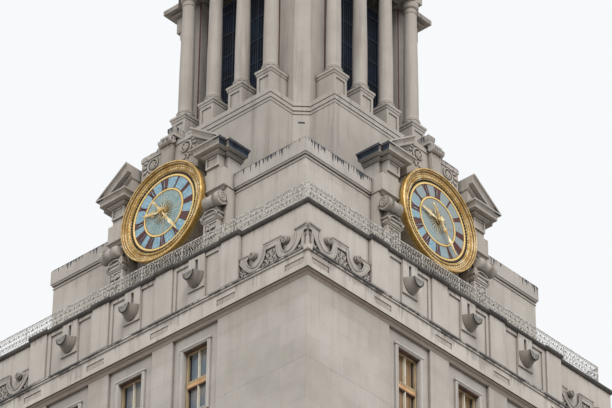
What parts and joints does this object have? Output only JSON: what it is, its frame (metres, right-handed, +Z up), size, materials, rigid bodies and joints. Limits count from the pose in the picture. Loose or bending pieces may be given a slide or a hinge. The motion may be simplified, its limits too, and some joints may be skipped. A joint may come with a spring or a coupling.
{
  "type": "clock tower, 1:10 scale model",
  "caption": "Limestone clock tower at 1:10 with a gilded dial on each side, turning hands, a parapet deck and a columned belfry.",
  "frame": {"origin": "on the ground at the tower's axis", "axes": "+Z up, -Y out of the front dial, +X out of the right dial"},
  "size_m": [1.89, 1.89, 9.364],
  "materials": {
    "limestone": "warm grey-beige ashlar, rain streaked",
    "weathered_stone": "limestone with a dark weathered crust",
    "mesh_metal": "galvanised wire",
    "screen_metal": "dark blue paint",
    "gilding": "gilded",
    "dial_mosaic": "pale blue mosaic"
  },
  "bodies": {
    "tower": {"plinth": "limestone", "shaft_front": "limestone", "shaft_right": "limestone", "shaft_back": "limestone", "shaft_left": "limestone", "top_storey_front": "limestone", "top_storey_right": "limestone", "top_storey_back": "limestone", "top_storey_left": "limestone", "storey_floors": "limestone", "window_surrounds": "limestone", "deck_slab": "limestone", "cornice": "limestone", "parapet_front": "limestone", "parapet_right": "limestone", "parapet_back": "limestone", "parapet_left": "limestone", "coping": "weathered_stone", "corner_scrolls": "limestone", "water_spouts": "limestone", "deck_fence": "mesh_metal", "stage_front": "limestone", "stage_right": "limestone", "stage_back": "limestone", "stage_left": "limestone", "stage_band": "limestone", "stage_roof": "limestone", "clock_piers": "limestone", "consoles": "limestone", "half_pediments": "weathered_stone", "attic_panels": "limestone", "keystones": "limestone", "bezels": "gilding", "dials": "dial_mosaic", "dial_arbors": "gilding", "belfry_base": "limestone", "belfry_floor": "limestone", "pedestals": "limestone", "columns": "limestone", "belfry_piers": "limestone", "belfry_screens": "screen_metal", "entablature": "limestone", "belfry_cornice": "limestone", "belfry_roof": "limestone"},
    "front_minute_hand_body": {"front_minute_hand": "gilding"},
    "front_hour_hand_body": {"front_hour_hand": "gilding"},
    "right_minute_hand_body": {"right_minute_hand": "gilding"},
    "right_hour_hand_body": {"right_hour_hand": "gilding"},
    "back_minute_hand_body": {"back_minute_hand": "gilding"},
    "back_hour_hand_body": {"back_hour_hand": "gilding"},
    "left_minute_hand_body": {"left_minute_hand": "gilding"},
    "left_hour_hand_body": {"left_hour_hand": "gilding"}
  },
  "joints": [
    {"name": "front_minute_turn", "type": "hinge", "parent": "tower", "child": "front_minute_hand_body", "pos_m": [0, -0.74, 7.714], "axis": [0, 1, 0], "continuous": true},
    {"name": "front_hour_turn", "type": "hinge", "parent": "tower", "child": "front_hour_hand_body", "pos_m": [0, -0.74, 7.714], "axis": [0, 1, 0], "continuous": true},
    {"name": "right_minute_turn", "type": "hinge", "parent": "tower", "child": "right_minute_hand_body", "pos_m": [0.74, 0, 7.714], "axis": [-1, 0, 0], "continuous": true},
    {"name": "right_hour_turn", "type": "hinge", "parent": "tower", "child": "right_hour_hand_body", "pos_m": [0.74, 0, 7.714], "axis": [-1, 0, 0], "continuous": true},
    {"name": "back_minute_turn", "type": "hinge", "parent": "tower", "child": "back_minute_hand_body", "pos_m": [0, 0.74, 7.714], "axis": [0, -1, 0], "continuous": true},
    {"name": "back_hour_turn", "type": "hinge", "parent": "tower", "child": "back_hour_hand_body", "pos_m": [0, 0.74, 7.714], "axis": [0, -1, 0], "continuous": true},
    {"name": "left_minute_turn", "type": "hinge", "parent": "tower", "child": "left_minute_hand_body", "pos_m": [-0.74, 0, 7.714], "axis": [1, 0, 0], "continuous": true},
    {"name": "left_hour_turn", "type": "hinge", "parent": "tower", "child": "left_hour_hand_body", "pos_m": [-0.74, 0, 7.714], "axis": [1, 0, 0], "continuous": true}
  ],
  "couplings": [
    {"joint": "front_hour_turn", "follows": "front_minute_turn", "ratio": 0.083333},
    {"joint": "right_minute_turn", "follows": "front_minute_turn", "ratio": 1},
    {"joint": "right_hour_turn", "follows": "front_minute_turn", "ratio": 0.083333},
    {"joint": "back_minute_turn", "follows": "front_minute_turn", "ratio": 1},
    {"joint": "back_hour_turn", "follows": "front_minute_turn", "ratio": 0.083333},
    {"joint": "left_minute_turn", "follows": "front_minute_turn", "ratio": 1},
    {"joint": "left_hour_turn", "follows": "front_minute_turn", "ratio": 0.083333}
  ]
}
